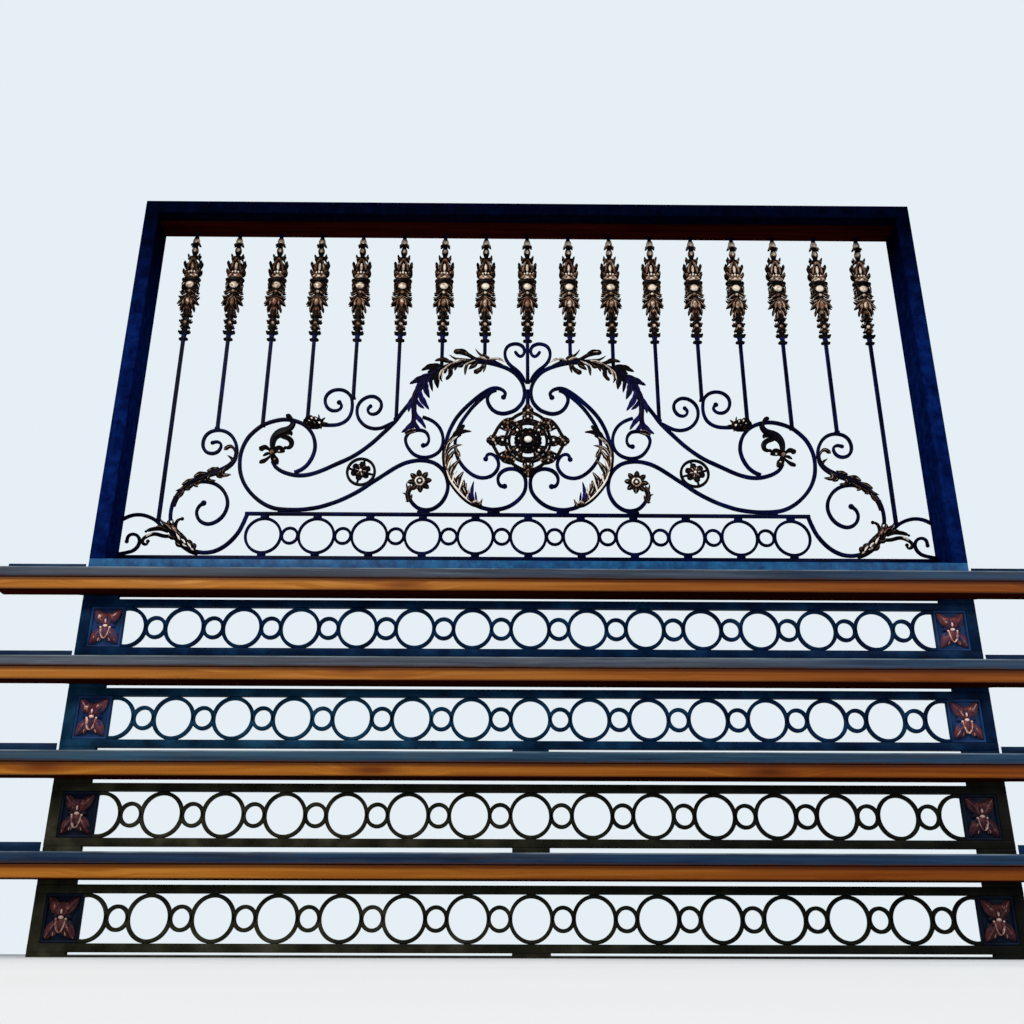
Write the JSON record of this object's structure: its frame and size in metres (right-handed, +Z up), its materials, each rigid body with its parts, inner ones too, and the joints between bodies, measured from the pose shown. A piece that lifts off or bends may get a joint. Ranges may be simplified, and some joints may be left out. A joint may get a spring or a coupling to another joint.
{
  "type": "window grille",
  "caption": "Wide scrolled window grille in a deep painted metal surround, above ring-frieze bands that stand between projecting ledges.",
  "frame": {"origin": "on the underside of the flat strip below the lowest band, at mid width and mid depth of the band frame", "axes": "+X to the right seen from the street, +Y into the wall, +Z up"},
  "size_m": [3.04, 0.275, 2.286],
  "materials": {
    "iron_paint": "gloss navy black, hand painted",
    "rubbed_casting": "black with rubbed antique gold and copper",
    "plaque_metal": "dark blue with rubbed rose copper",
    "surround_paint": "satin navy",
    "board_paint": "dark red primer",
    "ledge_paint": "weathered blue grey",
    "timber": "oiled softwood"
  },
  "bodies": {
    "root": {"arch_foot_scrolls": "iron_paint", "arch_leaves": "rubbed_casting", "arch_scrolls": "iron_paint", "bar_castings": "rubbed_casting", "big_s_scrolls": "iron_paint", "bottom_rail": "iron_paint", "bridge_knots": "rubbed_casting", "bridge_scrolls": "iron_paint", "centre_c_scrolls": "iron_paint", "centre_inner_scrolls": "iron_paint", "centre_leaves": "rubbed_casting", "centre_rosette": "rubbed_casting", "corner_arcs": "iron_paint", "corner_leaves": "rubbed_casting", "corner_spirals": "iron_paint", "cross_plaques": "plaque_metal", "flower_rings": "rubbed_casting", "frieze_bar": "iron_paint", "frieze_rings": "iron_paint", "heart_scrolls": "iron_paint", "jamb_curls": "iron_paint", "jamb_left": "surround_paint", "jamb_right": "surround_paint", "ledge_cap_1": "ledge_paint", "ledge_cap_2": "ledge_paint", "ledge_cap_3": "ledge_paint", "ledge_cap_4": "ledge_paint", "ledge_timber_1": "timber", "ledge_timber_2": "timber", "ledge_timber_3": "timber", "ledge_timber_4": "timber", "rail_scrolls": "iron_paint", "ring_band_1": "iron_paint", "ring_band_2": "iron_paint", "ring_band_3": "iron_paint", "ring_band_4": "iron_paint", "saddle_scrolls": "iron_paint", "scroll_fleurons": "rubbed_casting", "scroll_rosettes": "rubbed_casting", "side_c_scrolls": "iron_paint", "side_leaves": "rubbed_casting", "soffit_board": "board_paint", "surround_head": "surround_paint", "surround_sill": "surround_paint", "upright_bars": "iron_paint"}
  },
  "joints": []
}
